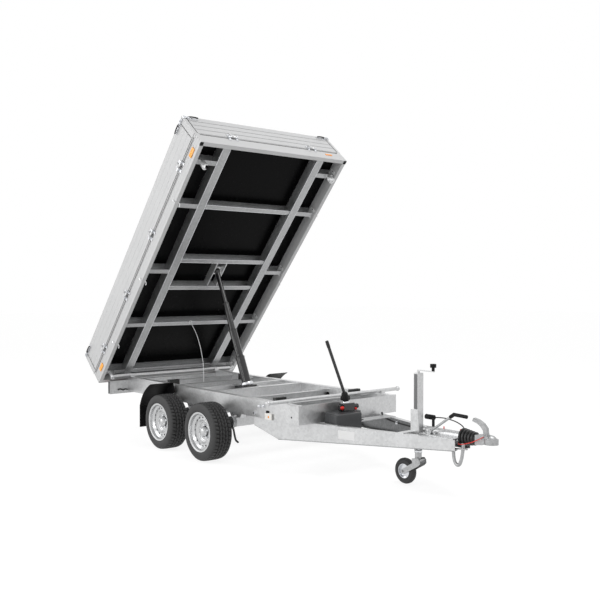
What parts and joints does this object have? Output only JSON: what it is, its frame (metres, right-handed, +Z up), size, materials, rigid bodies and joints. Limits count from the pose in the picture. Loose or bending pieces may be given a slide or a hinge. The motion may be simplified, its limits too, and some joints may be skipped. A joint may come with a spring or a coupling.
{
  "type": "three-way tipper trailer",
  "caption": "Tandem-axle three-way tipper trailer with galvanised chassis and V drawbar, telescopic ram, hand pump, jockey leg and a tipping aluminium bed with fold-down boards",
  "frame": {"origin": "centre of the bounding box at ground level, with the bed tipped as pictured", "axes": "+X forward to the coupling, +Y to the trailer's left, +Z up"},
  "size_m": [4.8641, 1.816, 3.1279],
  "materials": {
    "galvanised": "hot-dip galvanised steel, faint spangle",
    "zinc_bright": "bright zinc plate",
    "aluminium": "anodised extruded planks",
    "floor_board": "black film-faced plywood",
    "tyre_rubber": "black rubber",
    "rim_silver": "silver paint",
    "black_rubber": "black moulded rubber",
    "black_plastic": "black moulded plastic",
    "ram_black": "black enamel",
    "arm_grey": "dark cast and painted iron",
    "tank_grey": "dark grey enamel",
    "lamp_red": "red lens",
    "lamp_clear": "clear round lens",
    "amber": "amber reflector",
    "red_cord": "red sleeved cable",
    "wire_rope": "steel wire rope"
  },
  "bodies": {
    "chassis": {"side_beams": "galvanised", "cross_members": "galvanised", "rear_board": "galvanised", "rear_lamps": "lamp_red", "pivot_tubes": "galvanised", "bed_buffers": "black_rubber", "axle_beams": "galvanised", "swing_arms": "arm_grey", "mudguards": "black_plastic", "marker_lamps": "lamp_clear", "drawbar_arms": "galvanised", "drawbar_ties": "galvanised", "overrun_housing": "galvanised", "gaiter": "black_rubber", "coupling_head": "galvanised", "hand_levers": "zinc_bright", "hand_grips": "black_plastic", "jockey_column": "galvanised", "pump_tank": "tank_grey", "pump_head": "ram_black", "plug_holder": "black_plastic", "ram_carrier": "galvanised", "gimbal_ring": "ram_black", "lead_cable": "black_rubber", "breakaway_cable": "red_cord", "tip_rope": "wire_rope"},
    "bed": {"bed_rails": "aluminium", "bed_long_members": "galvanised", "bed_cross_members": "galvanised", "bed_floor": "floor_board", "corner_posts": "aluminium", "ram_seat": "galvanised", "bed_sockets": "galvanised", "bed_fittings": "galvanised", "reflectors": "amber"},
    "right_board": {"right_board": "aluminium"},
    "left_board": {"left_board": "aluminium"},
    "front_board": {"front_board": "aluminium"},
    "tail_board": {"tail_board": "aluminium"},
    "wheel_front_left": {"tyre_front_left": "tyre_rubber", "rim_front_left": "rim_silver"},
    "wheel_front_right": {"tyre_front_right": "tyre_rubber", "rim_front_right": "rim_silver"},
    "wheel_rear_left": {"tyre_rear_left": "tyre_rubber", "rim_rear_left": "rim_silver"},
    "wheel_rear_right": {"tyre_rear_right": "tyre_rubber", "rim_rear_right": "rim_silver"},
    "jockey_fork": {"jockey_fork": "galvanised"},
    "jockey_wheel": {"jockey_tyre": "tyre_rubber", "jockey_rim": "zinc_bright"},
    "ram_barrel": {"ram_barrel": "ram_black"},
    "ram_stage_1": {"ram_stage_1": "ram_black"},
    "ram_stage_2": {"ram_stage_2": "ram_black"},
    "ram_stage_3": {"ram_stage_3": "ram_black"},
    "ram_stage_4": {"ram_stage_4": "ram_black"}
  },
  "joints": [
    {"name": "bed_tip", "type": "hinge", "parent": "chassis", "child": "bed", "pos_m": [-1.99794, 0, 0.61], "axis": [0, -1, 0], "range_deg": [-49, 0], "deforming": ["tip_rope"]},
    {"name": "right_board_fold", "type": "hinge", "parent": "bed", "child": "right_board", "pos_m": [-2.21622, -0.9, 0.61955], "axis": [0.6561, 0, 0.7547], "range_deg": [0, 180]},
    {"name": "left_board_fold", "type": "hinge", "parent": "bed", "child": "left_board", "pos_m": [-2.21622, 0.9, 0.61955], "axis": [-0.6561, 0, -0.7547], "range_deg": [0, 180]},
    {"name": "front_board_fold", "type": "hinge", "parent": "bed", "child": "front_board", "pos_m": [-0.18899, 0, 2.9516], "axis": [0, 1, 0], "range_deg": [0, 180]},
    {"name": "tail_board_swing", "type": "hinge", "parent": "bed", "child": "tail_board", "pos_m": [-2.4066, 0, 0.80293], "axis": [0, 1, 0], "range_deg": [0, 90]},
    {"name": "wheel_front_left_spin", "type": "hinge", "parent": "chassis", "child": "wheel_front_left", "pos_m": [-0.17294, 0.765, 0.2625], "axis": [0, 1, 0], "continuous": true},
    {"name": "wheel_front_right_spin", "type": "hinge", "parent": "chassis", "child": "wheel_front_right", "pos_m": [-0.17294, -0.765, 0.2625], "axis": [0, 1, 0], "continuous": true},
    {"name": "wheel_rear_left_spin", "type": "hinge", "parent": "chassis", "child": "wheel_rear_left", "pos_m": [-0.89294, 0.765, 0.2625], "axis": [0, 1, 0], "continuous": true},
    {"name": "wheel_rear_right_spin", "type": "hinge", "parent": "chassis", "child": "wheel_rear_right", "pos_m": [-0.89294, -0.765, 0.2625], "axis": [0, 1, 0], "continuous": true},
    {"name": "jockey_swivel", "type": "hinge", "parent": "chassis", "child": "jockey_fork", "pos_m": [1.71506, -0.045, 0.25], "axis": [0, 0, 1], "continuous": true},
    {"name": "jockey_spin", "type": "hinge", "parent": "jockey_fork", "child": "jockey_wheel", "pos_m": [1.58106, -0.045, 0.1025], "axis": [0, 1, 0], "continuous": true},
    {"name": "ram_tilt", "type": "hinge", "parent": "chassis", "child": "ram_barrel", "pos_m": [-0.5924, 0, 0.54], "axis": [0, -1, 0], "range_deg": [-24.5, 0]},
    {"name": "ram_slide_1", "type": "slide", "parent": "ram_barrel", "child": "ram_stage_1", "axis": [-0.4231, 0, 0.9061], "range_m": [-0.28755, 0]},
    {"name": "ram_slide_2", "type": "slide", "parent": "ram_stage_1", "child": "ram_stage_2", "axis": [-0.4231, 0, 0.9061], "range_m": [-0.28755, 0]},
    {"name": "ram_slide_3", "type": "slide", "parent": "ram_stage_2", "child": "ram_stage_3", "axis": [-0.4231, 0, 0.9061], "range_m": [-0.28755, 0]},
    {"name": "ram_slide_4", "type": "slide", "parent": "ram_stage_3", "child": "ram_stage_4", "axis": [-0.4231, 0, 0.9061], "range_m": [-0.28755, 0]}
  ],
  "couplings": [
    {"joint": "ram_tilt", "follows": "bed_tip", "ratio": 0.5},
    {"joint": "ram_slide_1", "follows": "bed_tip", "m_per_rad": 0.33623},
    {"joint": "ram_slide_2", "follows": "bed_tip", "m_per_rad": 0.33623},
    {"joint": "ram_slide_3", "follows": "bed_tip", "m_per_rad": 0.33623},
    {"joint": "ram_slide_4", "follows": "bed_tip", "m_per_rad": 0.33623}
  ]
}
